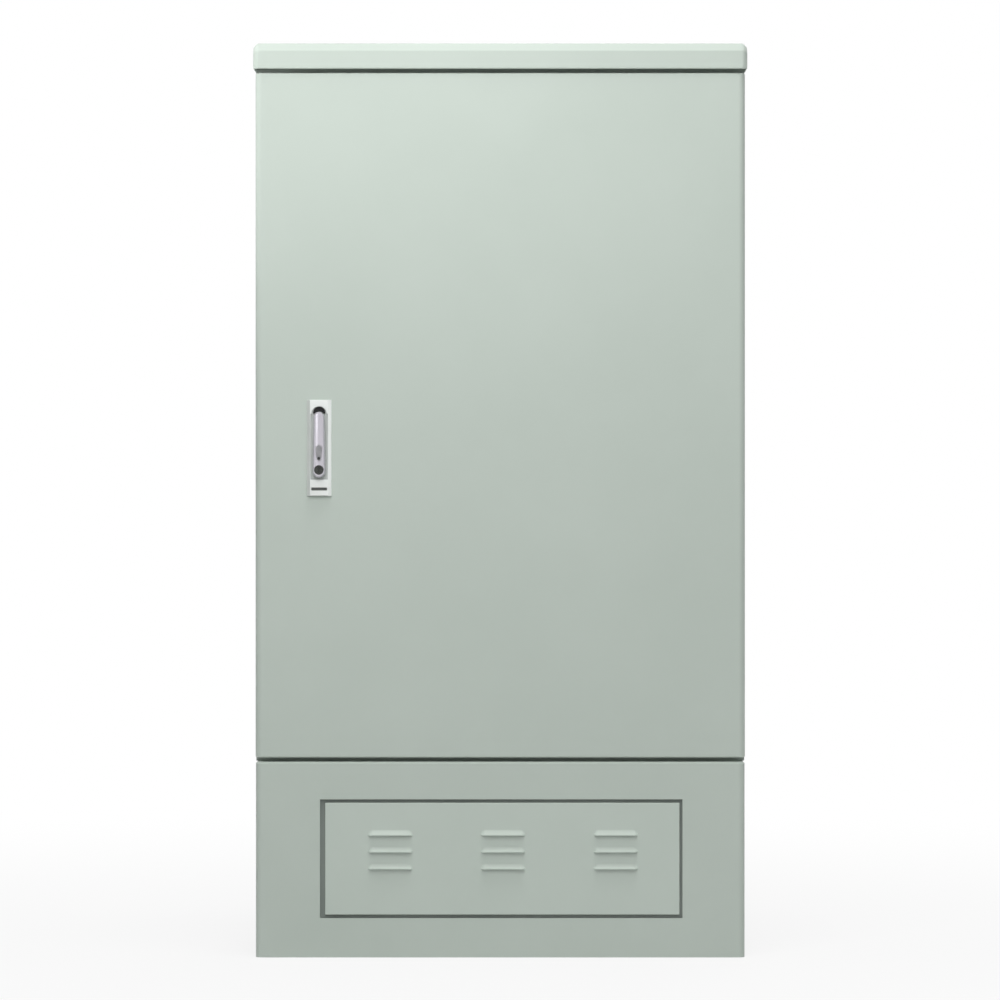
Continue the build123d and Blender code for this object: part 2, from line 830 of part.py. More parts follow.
# Lock spindle: a hub in the tray, a tongue that carries the handle, and a square shaft that carries the cam

with BuildPart() as lock_spindle:
    hub_back = tray_face - lug_clearance
    with BuildSketch(front_plane(hub_back)):
        with Locations((lock_x, pivot_z)):
            Circle(hub_radius)
    extrude(amount=hub_thickness)
    with BuildSketch(front_plane(hub_back)):
        with Locations((lock_x, pivot_z)):
            Rectangle(spindle_square, spindle_square)
    extrude(amount=hub_back - cam_back)
    with BuildSketch(side_plane(lock_x - tongue_width / 2)):
        with Locations((lift_y, pivot_z)):
            Circle(tongue_radius)
            Rectangle(
                hub_back - hub_thickness - lift_y, 2 * tongue_radius, align=(Align.MIN, Align.CENTER)
            )
            Circle(handle_pin_radius + running_clearance, mode=Mode.SUBTRACT)
    extrude(amount=tongue_width)
write(lock_spindle, "lock_spindle")

with BuildPart() as lock_cam:
    with BuildSketch(front_plane(cam_back)):
        with Locations((lock_x, pivot_z)):
            Rectangle(2 * (crank_radius + crank_margin), crank_width, rotation=crank_rest_angle)
            Rectangle(cam_eye, cam_eye, mode=Mode.SUBTRACT)
    extrude(amount=cam_thickness)
    with BuildSketch(front_plane(cam_back)):
        with Locations((lock_x, pivot_z)):
            with PolarLocations(crank_radius, 2, start_angle=crank_rest_angle):
                Circle(crank_pin_radius)
    extrude(amount=-(rod_gap + rod_thickness + crank_pin_tail))
write(lock_cam, "lock_cam")

with BuildPart() as cam_screw:
    with BuildSketch(front_plane(cam_back + cam_screw_head)):
        with Locations((lock_x, pivot_z)):
            RegularPolygon(cam_screw_radius, hexagon_sides)
    extrude(amount=cam_screw_head)
write(cam_screw, "cam_screw")


# Handle: a tapered lever hung on the spindle's tongue, with the key barrel in its lower end

barrel_z = pivot_z - barrel_drop
cover_z = pivot_z - cover_drop

with BuildPart() as lock_handle:
    with BuildSketch(front_plane(handle_back)):
        with Locations((lock_x, pivot_z)):
            Circle(handle_top_radius)
        with Locations((lock_x, pivot_z - handle_length)):
            Circle(handle_end_radius)
        make_hull()
    extrude(amount=handle_thickness)
    chamfer(lock_handle.faces().sort_by(Axis.Y)[0].edges(), handle_edge_chamfer)
    with Locations((lock_x, lift_y - tongue_radius - tongue_clearance, pivot_z)):
        Box(
            tongue_width + 2 * tongue_clearance,
            handle_thickness,
            2 * tongue_pocket_rise,
            align=(Align.CENTER, Align.MIN, Align.CENTER),
            mode=Mode.SUBTRACT,
        )
    with Locations((lock_x, handle_back - handle_relief_depth, pivot_z + handle_relief_rise)):
        Box(
            2 * handle_top_radius,
            handle_thickness,
            handle_top_radius,
            align=(Align.CENTER, Align.MIN, Align.MIN),
            mode=Mode.SUBTRACT,
        )
    with BuildSketch(front_plane(handle_front)):
        with Locations((lock_x, barrel_z)):
            Rectangle(barrel_seat, barrel_seat)
    extrude(amount=-handle_thickness, mode=Mode.SUBTRACT)
write(lock_handle, "lock_handle")

with BuildPart() as handle_pin:
    with Locations(side_plane(lock_x)):
        with Locations((lift_y, pivot_z)):
            Cylinder(handle_pin_radius, tongue_width + 2 * tongue_clearance)
write(handle_pin, "handle_pin")

with BuildPart() as key_barrel:
    with BuildSketch(front_plane(handle_front)):
        with Locations((lock_x, barrel_z)):
            Circle(barrel_radius)
    extrude(amount=barrel_proud)
    with BuildSketch(front_plane(handle_back)):
        with Locations((lock_x, barrel_z)):
            Rectangle(barrel_square, barrel_square)
    extrude(amount=handle_thickness)
    with Locations(front_plane(handle_front - barrel_proud)):
        with Locations((lock_x, barrel_z)):
            Hole(plug_radius + running_clearance, depth=handle_thickness + barrel_proud)
write(key_barrel, "key_barrel")

with BuildPart() as key_plug:
    with BuildSketch(front_plane(handle_front)):
        with Locations((lock_x, barrel_z)):
            Circle(plug_radius)
    extrude(amount=-plug_length)
    with BuildSketch(front_plane(handle_front)):
        with Locations((lock_x, barrel_z)):
            Rectangle(keyway_width, keyway_height)
    extrude(amount=-keyway_depth, mode=Mode.SUBTRACT)
write(key_plug, "key_plug")

cover_back = handle_front - barrel_proud - cover_lift

with BuildPart() as dust_cover:
    with BuildSketch(front_plane(cover_back)):
        with Locations((lock_x, cover_z)):
            Circle(cover_root_radius)
        with Locations((lock_x, cover_z + cover_length)):
            Circle(cover_end_radius)
        make_hull()
        with Locations((lock_x, cover_z)):
            Rectangle(rivet_eye, rivet_eye, mode=Mode.SUBTRACT)
    extrude(amount=cover_thickness)
write(dust_cover, "dust_cover")

cover_front = cover_back - cover_thickness

with BuildPart() as cover_rivet:
    with BuildSketch(front_plane(cover_front)):
        with Locations((lock_x, cover_z)):
            Circle(rivet_radius)
    extrude(amount=rivet_proud)
    with BuildSketch(front_plane(handle_front)):
        with Locations((lock_x, cover_z)):
            Rectangle(rivet_square, rivet_square)
    extrude(amount=handle_front - cover_front)
write(cover_rivet, "cover_rivet")


# Lock rods: flat bars driven by the cam's pins through level slots, and run through guides on the door

pin_reach = crank_radius * sin(radians(crank_rest_angle))
rod_offset = (crank_radius + pin_reach) / 2
slot_length = crank_radius - pin_reach + 2 * crank_pin_radius + rod_slot_clearance
slot_height = 2 * crank_pin_radius + crank_radius * crank_sway_share + rod_slot_clearance / 2


def lock_rod(side, tip_level):
    """A lock rod whose slot sits on the crank pin, with side 1 for the upper rod and -1 for the lower."""
    rod_x = lock_x - side * rod_offset
    slot_level = pivot_z + side * pin_reach
    tail_level = slot_level - side * rod_tail
    with BuildPart() as rod:
        with BuildSketch(front_plane(rod_back)):
            with Locations((rod_x, (tip_level + tail_level) / 2)):
                Rectangle(rod_width, abs(tip_level - tail_level))
            with Locations((rod_x, slot_level)):
                Rectangle(slot_length, slot_height, mode=Mode.SUBTRACT)
        extrude(amount=rod_thickness)
        tip_face = rod.faces().sort_by(Axis.Z)[-1 if side > 0 else 0]
        chamfer(tip_face.edges().filter_by(Axis.Y), rod_tip_chamfer)
    return rod


write(lock_rod(1, lip_top - sheet - rod_tip_clearance), "upper_lock_rod")
write(lock_rod(-1, lip_bottom + sheet + rod_tip_clearance), "lower_lock_rod")

guide_depth = rod_back + guide_clearance + guide_wall - door_inner
guide_gap_width = rod_width + 2 * guide_clearance
guide_gap_depth = rod_thickness + 2 * guide_clearance

with BuildPart() as rod_guide:
    with BuildSketch(Plane.XY.offset(-guide_height / 2)):
        with Locations((0, door_inner)):
            Rectangle(guide_width, guide_depth, align=(Align.CENTER, Align.MIN))
        with Locations((0, door_inner + guide_wall)):
            Rectangle(
                guide_width - 2 * guide_wall,
                rod_front - guide_clearance - 2 * guide_wall - door_inner,
                align=(Align.CENTER, Align.MIN),
                mode=Mode.SUBTRACT,
            )
        with Locations((0, (rod_front + rod_back) / 2)):
            Rectangle(guide_gap_width, guide_gap_depth, mode=Mode.SUBTRACT)
    extrude(amount=guide_height)

guide_places = [
    (lock_x - rod_offset, 0, lip_top - guide_margin),
    (lock_x - rod_offset, 0, lock_base_top + guide_margin),
    (lock_x + rod_offset, 0, lock_base_bottom - guide_margin),
    (lock_x + rod_offset, 0, lip_bottom + guide_margin),
]

with BuildPart() as rod_guides:
    with Locations(*guide_places):
        add(rod_guide.part)
write(rod_guides, "rod_guides")


# Equipment frame: two punched uprights on two cross rails that span the body

rack_first_hole = upright_bottom + (upright_height - (rack_holes - 1) * rack_unit) / 2


def upright(side):
    """A channel with a punched front flange, open towards the side wall."""
    with BuildPart() as post:
        with BuildSketch(Plane.XY.offset(upright_bottom)):
            with Locations((side * rack_hole_spacing / 2, rack_front + upright_depth / 2)):
                Rectangle(upright_width, upright_depth)
            with Locations((side * (rack_hole_spacing / 2 + sheet), rack_front + upright_depth / 2)):
                Rectangle(upright_width, upright_depth - 2 * sheet, mode=Mode.SUBTRACT)
        extrude(amount=upright_height)
        with BuildSketch(front_plane(rack_front + sheet)):
            with Locations((side * rack_hole_spacing / 2, upright_bottom + upright_height / 2)):
                with GridLocations(0, rack_unit, 1, rack_holes):
                    Rectangle(rack_hole, rack_hole)
        extrude(amount=sheet, mode=Mode.SUBTRACT)
    return post


write(upright(-1), "left_upright")
write(upright(1), "right_upright")


def cross_rail(level):
    """An angle from wall to wall behind the uprights, with the level of its lower edge."""
    with BuildPart() as rail:
        with BuildSketch(side_plane(-wall_inner)):
            with Locations((upright_back, level)):
                Rectangle(sheet, cross_rail_height, align=Align.MIN)
                Rectangle(cross_rail_depth, sheet, align=Align.MIN)
        extrude(amount=2 * wall_inner)
    return rail


write(cross_rail(upright_bottom + cross_rail_margin), "lower_cross_rail")
write(cross_rail(upright_top - cross_rail_margin - cross_rail_height), "upper_cross_rail")


# Termination modules: moulded units with terminal strips, screwed to the uprights

module_height = module_units * rack_unit - module_gap
flange_front = rack_front - module_flange_thickness
face_front = flange_front - module_face_depth


def module_level(index):
    """Level of the middle of a module, halfway between its two screw holes."""
    return rack_first_hole + (module_first_hole + index * module_pitch_holes) * rack_unit + rack_unit / 2


def termination_module(level):
    """One moulded module: a flange, a closed body behind it and a raised face with terminal strips."""
    with BuildPart() as module:
        with BuildSketch(front_plane(rack_front)):
            with Locations((0, level)):
                Rectangle(module_flange_width, module_height)
            with Locations((0, level + rack_unit / 2)):
                with GridLocations(rack_hole_spacing, 0, 2, 1):
                    Rectangle(module_screw_hole, module_screw_hole, mode=Mode.SUBTRACT)
        extrude(amount=module_flange_thickness)
        with BuildSketch(front_plane(rack_front)):
            with Locations((0, level)):
                Rectangle(module_body_width, module_height)
        extrude(amount=-module_body_depth)
        with BuildSketch(front_plane(flange_front)):
            with Locations((0, level)):
                Rectangle(module_body_width, module_face_height)
        extrude(amount=module_face_depth)
        with BuildSketch(front_plane(face_front)):
            with Locations((0, level)):
                with GridLocations(0, strip_pitch, 1, strip_rows):
                    Rectangle(strip_length, strip_height)
        extrude(amount=strip_proud)
    return module


for index in range(module_count):
    write(termination_module(module_level(index)), f"termination_module_{index + 1}")

module_screw = fastener(module_screw_radius, module_screw_length, module_screw_head_radius, module_screw_head)

with BuildPart() as module_screws:
    with Locations(front_plane(flange_front).rotated((half_turn, 0, 0))):
        with Locations(*[(0, -module_level(index) - rack_unit / 2) for index in range(module_count)]):
            with GridLocations(rack_hole_spacing, 0, 2, 1):
                add(module_screw)
write(module_screws, "module_screws")


# Cable entry: a gland plate over the floor's opening, with rubber cable seals

with BuildPart() as gland_plate:
    with BuildSketch(Plane.XY.offset(floor_top)):
        with Locations((0, gland_center_y)):
            Rectangle(gland_width, gland_depth)
            with GridLocations(gland_width - gland_lap, gland_depth - gland_lap, 2, 2):
                Rectangle(gland_screw_hole, gland_screw_hole, mode=Mode.SUBTRACT)
            with GridLocations(grommet_spacing, 0, grommet_count, 1):
                Rectangle(grommet_neck_width, grommet_neck_width, mode=Mode.SUBTRACT)
    extrude(amount=gland_thickness)
write(gland_plate, "gland_plate")

with BuildPart() as grommet:
    with BuildSketch(Plane.XY.offset(gland_thickness)):
        Rectangle(grommet_flange_width, grommet_flange_width)
    extrude(amount=grommet_flange)
    with BuildSketch(Plane.XY.offset(-grommet_flange)):
        Rectangle(grommet_neck_width, grommet_neck_width)
    extrude(amount=grommet_flange + gland_thickness)
    with Locations(Plane.XY.offset(gland_thickness + grommet_flange)):
        Hole(grommet_bore_radius, depth=gland_thickness + 2 * grommet_flange)

with BuildPart() as cable_grommets:
    with Locations((0, gland_center_y, floor_top)):
        with GridLocations(grommet_spacing, 0, grommet_count, 1):
            add(grommet.part)
write(cable_grommets, "cable_grommets")

gland_screw_length = gland_thickness + sheet + gland_screw_head
gland_screw = fastener(gland_screw_radius, gland_screw_length, gland_screw_head_radius, gland_screw_head)

with BuildPart() as gland_screws:
    with Locations(Plane.XY.offset(floor_top + gland_thickness).rotated((half_turn, 0, 0))):
        with Locations((0, -gland_center_y)):
            with GridLocations(gland_width - gland_lap, gland_depth - gland_lap, 2, 2):
                add(gland_screw)
write(gland_screws, "gland_screws")


# Cable rail: a channel from wall to wall behind the grommets, to which the cables are tied

tie_rail_front = gland_center_y + grommet_flange_width / 2

with BuildPart() as tie_rail:
    with BuildSketch(side_plane(-wall_inner)):
        with Locations((tie_rail_front, floor_top + tie_rail_rise)):
            Rectangle(tie_rail_depth, tie_rail_height, align=(Align.MIN, Align.CENTER))
        with Locations((tie_rail_front + sheet, floor_top + tie_rail_rise)):
            Rectangle(
                tie_rail_depth,
                tie_rail_height - 2 * sheet,
                align=(Align.MIN, Align.CENTER),
                mode=Mode.SUBTRACT,
            )
    extrude(amount=2 * wall_inner)
write(tie_rail, "cable_tie_rail")


# Earth bar: a copper bar on two insulators on the back wall, with its bolts

earth_level = floor_top + earth_bar_level
wall_back = body_back - sheet
earth_back = wall_back - earth_standoff
earth_front = earth_back - earth_bar_thickness

with BuildPart() as earth_bar:
    with BuildSketch(front_plane(earth_back)):
        with Locations((0, earth_level)):
            Rectangle(earth_bar_length, earth_bar_height)
            with GridLocations(earth_bolt_spacing, 0, earth_bolt_count, 1):
                Rectangle(earth_bolt_hole, earth_bolt_hole, mode=Mode.SUBTRACT)
    extrude(amount=earth_bar_thickness)
write(earth_bar, "earth_bar")

with BuildPart() as earth_insulators:
    with BuildSketch(front_plane(wall_back)):
        with Locations((0, earth_level)):
            with GridLocations(earth_standoff_spacing, 0, 2, 1):
                RegularPolygon(earth_standoff_radius, hexagon_sides)
    extrude(amount=earth_standoff)
write(earth_insulators, "earth_insulators")

earth_bolt = fastener(earth_bolt_radius, 2 * earth_bar_thickness, earth_bolt_head_radius, earth_bolt_head)

with BuildPart() as earth_bolts:
    with Locations(front_plane(earth_front).rotated((half_turn, 0, 0))):
        with Locations((0, -earth_level)):
            with GridLocations(earth_bolt_spacing, 0, earth_bolt_count, 1):
                add(earth_bolt)
write(earth_bolts, "earth_bolts")
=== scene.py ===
"""Looks of the roadside utility cabinet: its finishes, softened edges, terminal blocks, light and camera.

Metres. +Z is up and the front faces -Y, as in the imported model.
"""

import json
from math import cos, pi, radians, sin

import bmesh
import bpy
from mathutils import Matrix, Vector


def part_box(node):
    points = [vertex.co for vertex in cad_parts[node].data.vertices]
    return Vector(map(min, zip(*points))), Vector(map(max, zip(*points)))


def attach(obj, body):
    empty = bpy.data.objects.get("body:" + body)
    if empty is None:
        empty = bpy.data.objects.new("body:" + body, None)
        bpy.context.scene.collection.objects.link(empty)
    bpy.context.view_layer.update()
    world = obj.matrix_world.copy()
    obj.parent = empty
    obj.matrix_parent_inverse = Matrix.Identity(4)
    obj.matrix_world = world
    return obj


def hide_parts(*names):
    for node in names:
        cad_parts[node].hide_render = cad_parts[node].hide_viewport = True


# Camera, set from the photograph's straight front view
camera_distance = 6.5
camera_lens = 152.88
camera_sensor = 36.0
camera_reach = 100.0
camera_x = -0.0004
camera_z = 0.7002
camera_tilt = radians(90)
door_plane = -0.160

# Lamps: place, point that the lamp is aimed at, power, width, beam, and whether gloss shows the lamp
open_beam = radians(180)
side_beam = radians(30)
lamps = {
    "key": (Vector((-0.29, -1.45, 1.92)), Vector((0.06, -0.16, 1.20)), 12.8, 0.8, open_beam, False),
    "front": (Vector((0.0, -7.6, 4.3)), Vector((0.0, 0.0, 0.7)), 108.0, 3.0, open_beam, False),
    "top": (Vector((0.3, -1.2, 6.3)), Vector((0.0, -0.1, 0.7)), 140.0, 1.6, open_beam, False),
    "left": (Vector((-2.2, -0.5, 1.2)), Vector((-0.37, -0.14, 1.36)), 0.66, 0.4, side_beam, False),
    "rear": (Vector((0.9, 4.2, 2.4)), Vector((0.0, 0.16, 0.8)), 70.0, 2.5, open_beam, True),
    "glint": (Vector((-0.53, -1.15, 0.87)), Vector((-0.277, -0.18, 0.82)), 0.13, 0.12, open_beam, True),
}

# Background and floor, with how white the floor is shown near the object and far off
fill_level = 0.30
white = (1, 1, 1, 1)
floor_size = 14.0
floor_drop = 0.0004
floor_tone = 0.6
glow_near = 0.85
glow_far = 1.0
glow_reach = 3.0

# Finishes: dark and light colour, roughness range, grain scale, share of metal, cloud scale and detail
finishes = {
    "powder_coat": ((0.492, 0.556, 0.505), (0.512, 0.576, 0.525), (0.40, 0.48), 700.0, 0.0, (5.0, 3.0)),
    "panel_coat": ((0.520, 0.588, 0.534), (0.540, 0.608, 0.554), (0.40, 0.48), 700.0, 0.0, (5.0, 3.0)),
    # The next finish is painted shade: a dark grey for the window frame's ledge, seen in the shaded gap
    # round the access panel
    "ledge_painted_shade": ((0.23, 0.26, 0.24), (0.27, 0.30, 0.28), (0.55, 0.65), 700.0, 0.0, (5.0, 3.0)),
    "zinc_plated_steel": ((0.50, 0.51, 0.53), (0.66, 0.67, 0.68), (0.34, 0.50), 260.0, 1.0, (60.0, 4.0)),
    "lock_casting": ((0.80, 0.83, 0.81), (0.84, 0.87, 0.85), (0.36, 0.46), 600.0, 0.2, (30.0, 3.0)),
    # The next finish is painted shade: a darker finish for the lock bezel's sunk tray and left bevel
    "lock_painted_shade": ((0.51, 0.54, 0.52), (0.55, 0.58, 0.56), (0.40, 0.50), 600.0, 0.1, (30.0, 3.0)),
    "handle_casting": ((0.52, 0.50, 0.55), (0.58, 0.56, 0.61), (0.18, 0.22), 500.0, 0.7, (25.0, 3.0)),
    "cover_plate": ((0.24, 0.24, 0.25), (0.34, 0.34, 0.35), (0.30, 0.42), 700.0, 0.8, (140.0, 3.0)),
    "dark_rivet": ((0.020, 0.020, 0.021), (0.035, 0.035, 0.036), (0.34, 0.46), 700.0, 0.5, (200.0, 2.0)),
    "lock_cylinder": ((0.040, 0.042, 0.040), (0.075, 0.078, 0.074), (0.30, 0.42), 900.0, 0.8, (120.0, 3.0)),
    "slot_shade": ((0.090, 0.096, 0.092), (0.110, 0.116, 0.112), (0.50, 0.60), 900.0, 0.0, (120.0, 3.0)),
    "module_plastic": ((0.62, 0.62, 0.58), (0.66, 0.66, 0.62), (0.46, 0.56), 1200.0, 0.0, (12.0, 2.0)),
    "rubber": ((0.018, 0.018, 0.019), (0.030, 0.030, 0.031), (0.62, 0.80), 900.0, 0.0, (40.0, 3.0)),
    "earth_metal": ((0.52, 0.26, 0.15), (0.70, 0.40, 0.25), (0.28, 0.46), 300.0, 1.0, (35.0, 4.0)),
    "insulator": ((0.30, 0.035, 0.025), (0.36, 0.050, 0.035), (0.34, 0.44), 800.0, 0.0, (50.0, 2.0)),
    "contact": ((0.62, 0.60, 0.55), (0.76, 0.74, 0.70), (0.22, 0.34), 900.0, 1.0, (200.0, 2.0)),
}

# Patterns in the finishes, with the strength and height of the grain
even_stretch = (1, 1, 1)
own_stretches = {"earth_metal": (1, 6, 6)}
fine_grain = (0.15, 0.0002)
own_grains = {"handle_casting": (0.01, 0.0002), "rubber": (0.4, 0.0004)}
grain_detail = 2.0
gloss_coarseness = 8
gloss_range = (0.25, 0.75)
tint_range = (0.3, 0.7)

# Nodes whose finish isn't the one that their slot is named after
# The window frame's dark ledge finish is painted shade for the gap round the access panel
own_finishes = {"dust_cover": "cover_plate", "cover_rivet": "dark_rivet", "window_frame": "ledge_painted_shade"}

# Softened edges, by node, with the width of the rounding
soft_angle = radians(25)
soft_steps = 2
edge_widths = {
    "plinth": 0.0010,
    "body_shell": 0.0006,
    "window_frame": 0.0005,
    "door_panel": 0.0008,
    "dust_cover": 0.0004,
    "key_barrel": 0.0003,
    "cover_rivet": 0.0002,
    "lock_housing": 0.0008,
    "termination_module_1": 0.0008,
    "termination_module_2": 0.0008,
    "termination_module_3": 0.0008,
    "termination_module_4": 0.0008,
    "cable_grommets": 0.0012,
    "door_seal": 0.0030,
    "door_stiffeners": 0.0006,
    "left_upright": 0.0005,
    "right_upright": 0.0005,
    "lower_cross_rail": 0.0005,
    "upper_cross_rail": 0.0005,
    "cable_tie_rail": 0.0005,
    "gland_plate": 0.0005,
    "earth_bar": 0.0006,
    "earth_insulators": 0.0010,
    "upper_lock_rod": 0.0004,
    "lower_lock_rod": 0.0004,
    "rod_guides": 0.0005,
    "hinge_brackets": 0.0005,
    "body_bolts": 0.0006,
    "roof_bolts": 0.0006,
    "module_screws": 0.0004,
    "gland_screws": 0.0004,
    "earth_bolts": 0.0004,
    "lock_screws": 0.0003,
}

# Replaced shapes: reach of joined points, and angles of flat, rounded, sharp and folded edges
join_reach = 0.00002
flat_angle = radians(1)
round_angle = radians(15)
sharp_angle = radians(32)
fold_angle = radians(80)
round_profile = 0.5

# Roof cap: reach of its end folds, its foot and its hem, and the width and steps of its roundings
roof_end = 0.010
roof_foot = 0.004
roof_hem = 0.002
roof_end_rounding = (0.0026, 4)
roof_long_rounding = (0.0010, 3)
roof_hem_rounding = (0.0005, 2)

# Lever: how far back its front edges lie, and the width and steps of its rounding
lever_front = 0.003
lever_rounding = (0.0016, 4)

# Crown of the lever's front, with the play that it leaves under the cover's rivet
lever_half_width = 0.0074
lever_fall = 0.0009
rivet_play = 0.00003
crown_reach = 0.0043
crown_steps = 24
wall_slope = -0.05

# Lock's bezel: depth and width of its faces that take painted shade, reach of its front edges, and its
# rounding
painted_shade_depth = 0.0002
painted_shade_width = 0.030
bezel_front = 0.004
bezel_rounding = (0.0003, 2)

# Access panel: a pressed tray, with the width and steps of its rounding
panel_sheet = 0.0015
panel_rounding = (0.0012, 3)

# Louvres: numbers, spacings and place on the panel
louvre_columns = 3
louvre_rows = 3
louvre_pitch_x = 0.1725
louvre_pitch_z = 0.0258
louvre_shift = 0.0010
louvre_rise = 0.0142

# One louvre: sizes, the power of its curve, the run of its rounded ends, and its steps
louvre_length = 0.068
louvre_top_length = 0.060
louvre_height = 0.0088
louvre_projection = 0.005
louvre_lip = 0.0012
louvre_sweep = 1.55
louvre_end_run = 0.0055
louvre_hem = 0.0008
louvre_steps_x = 40
louvre_steps_z = 14

# Dark pads in the lock's bezel, painted shade in the hollows of its arch and slot, with the room that the
# arch leaves for the hub
arch_radius = 0.0094
arch_rise = 0.0070
arch_start = radians(-6)
arch_bottom = 0.0066
arch_height = 0.0020
arch_steps = 24
hub_room = 0.0092
hub_start = radians(41)
slot_rise = 0.0105
slot_length = 0.0240
slot_width = 0.0041
slot_bottom = 0.0029
slot_height = 0.0010
slot_steps = 8
pad_rounding = (0.0003, 2)

# Terminal blocks on the modules, with sizes as width, depth and height
module_count = 4
strip_offset = 0.0135
block_count = 10
block_pitch = 0.037
block_size = (0.0345, 0.0024, 0.0165)
rib_count = 9
rib_pitch = 0.0038
rib_size = (0.0014, 0.0046, 0.0130)
contact_size = (0.0006, 0.0036, 0.0105)

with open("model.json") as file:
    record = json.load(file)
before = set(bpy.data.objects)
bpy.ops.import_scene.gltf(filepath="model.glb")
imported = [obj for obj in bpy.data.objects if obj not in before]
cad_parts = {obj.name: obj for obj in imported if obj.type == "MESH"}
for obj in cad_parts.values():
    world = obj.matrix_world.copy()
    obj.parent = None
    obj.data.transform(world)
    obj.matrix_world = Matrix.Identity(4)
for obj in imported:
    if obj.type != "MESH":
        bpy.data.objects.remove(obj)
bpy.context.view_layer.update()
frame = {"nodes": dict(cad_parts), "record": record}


def new_material(name):
    """A node material with its principled shader and object coordinates."""
    material = bpy.data.materials.new(name)
    material.use_nodes = True
    tree = material.node_tree
    shader = tree.nodes["Principled BSDF"]
    place = tree.nodes.new("ShaderNodeTexCoord")
    return material, tree, shader, place.outputs["Object"]


def noise(tree, place, scale, detail, stretch):
    """A noise pattern over object coordinates, longer where stretch is small."""
    mapping = tree.nodes.new("ShaderNodeMapping")
    mapping.inputs["Scale"].default_value = stretch
    tree.links.new(place, mapping.inputs["Vector"])
    pattern = tree.nodes.new("ShaderNodeTexNoise")
    pattern.inputs["Scale"].default_value = scale
    pattern.inputs["Detail"].default_value = detail
    tree.links.new(mapping.outputs["Vector"], pattern.inputs["Vector"])
    return pattern.outputs["Fac"]


def spread(tree, value, low, high):
    """Spreads the middle half of a noise value over low to high."""
    ranged = tree.nodes.new("ShaderNodeMapRange")
    ranged.inputs["From Min"].default_value = gloss_range[0]
    ranged.inputs["From Max"].default_value = gloss_range[1]
    ranged.inputs["To Min"].default_value = low
    ranged.inputs["To Max"].default_value = high
    tree.links.new(value, ranged.inputs["Value"])
    return ranged.outputs["Result"]


def tint(tree, value, dark, light):
    """A colour between dark and light, by a value."""
    ramp = tree.nodes.new("ShaderNodeValToRGB")
    for element, position, colour in zip(ramp.color_ramp.elements, tint_range, (dark, light)):
        element.position = position
        element.color = (*colour, 1)
    tree.links.new(value, ramp.inputs["Fac"])
    return ramp.outputs["Color"]


def bump(tree, shader, height, strength, distance):
    """Raises the surface by a height pattern."""
    raised = tree.nodes.new("ShaderNodeBump")
    raised.inputs["Strength"].default_value = strength
    raised.inputs["Distance"].default_value = distance
    tree.links.new(height, raised.inputs["Height"])
    tree.links.new(raised.outputs["Normal"], shader.inputs["Normal"])


def surface(name, dark, light, rough, grain, metallic, cloud):
    """A finish whose colour and gloss drift slightly, with a fine grain in its surface."""
    material, tree, shader, place = new_material(name)
    stretch = own_stretches.get(name, even_stretch)
    drift = noise(tree, place, *cloud, stretch)
    tree.links.new(tint(tree, drift, dark, light), shader.inputs["Base Color"])
    gloss = noise(tree, place, grain / gloss_coarseness, grain_detail, stretch)
    tree.links.new(spread(tree, gloss, *rough), shader.inputs["Roughness"])
    shader.inputs["Metallic"].default_value = metallic
    height = noise(tree, place, grain, grain_detail, stretch)
    bump(tree, shader, height, *own_grains.get(name, fine_grain))
    return material


materials = {finish: surface(finish, *values) for finish, values in finishes.items()}


def finish_node(node, finish):
    """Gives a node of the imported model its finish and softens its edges."""
    shape = frame["nodes"][node]
    shape.data.materials.clear()
    shape.data.materials.append(materials[finish])
    width = edge_widths.get(node)
    if width is None:
        return
    weld = shape.modifiers.new("weld", "WELD")
    weld.merge_threshold = join_reach
    rounding = shape.modifiers.new("rounding", "BEVEL")
    rounding.width = width
    rounding.segments = soft_steps
    rounding.limit_method = "ANGLE"
    rounding.angle_limit = soft_angle
    rounding.harden_normals = True
    shape.modifiers.new("normals", "WEIGHTED_NORMAL").keep_sharp = True


for row in frame["record"]["subparts"]:
    finish_node(row["node"], own_finishes.get(row["node"], row["material_slot"]))


def place_piece(shape, name, body, piece_finishes, smooth=True):
    """Makes an object of a mesh that moves with a body, flat or smooth except at its sharp edges."""
    mesh = bpy.data.meshes.new(name)
    shape.to_mesh(mesh)
    shape.free()
    for finish in piece_finishes:
        mesh.materials.append(materials[finish])
    piece = bpy.data.objects.new(name, mesh)
    bpy.context.collection.objects.link(piece)
    if smooth:
        mesh.shade_smooth()
        mesh.set_sharp_from_angle(angle=sharp_angle)
        piece.modifiers.new("normals", "WEIGHTED_NORMAL").keep_sharp = True
    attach(piece, body)
    return piece


def node_shape(node):
    """A node's shape with its flat faces joined."""
    shape = bmesh.new()
    shape.from_mesh(frame["nodes"][node].data)
    bmesh.ops.remove_doubles(shape, verts=shape.verts[:], dist=join_reach)
    bmesh.ops.dissolve_limit(shape, angle_limit=flat_angle, verts=shape.verts[:], edges=shape.edges[:])
    return shape


def bevel(shape, edges, width, steps):
    """Rounds edges of a mesh."""
    bmesh.ops.bevel(
        shape,
        geom=edges,
        offset=width,
        segments=steps,
        profile=round_profile,
        affect="EDGES",
        clamp_overlap=True,
    )


def round_edges(shape, chosen, width, steps):
    """Rounds the sharp outer edges whose middle is chosen."""
    edges = []
    for edge in shape.edges:
        if not edge.is_manifold or not edge.is_convex or edge.calc_face_angle() < round_angle:
            continue
        if chosen((edge.verts[0].co + edge.verts[1].co) / 2):
            edges.append(edge)
    bevel(shape, edges, width, steps)


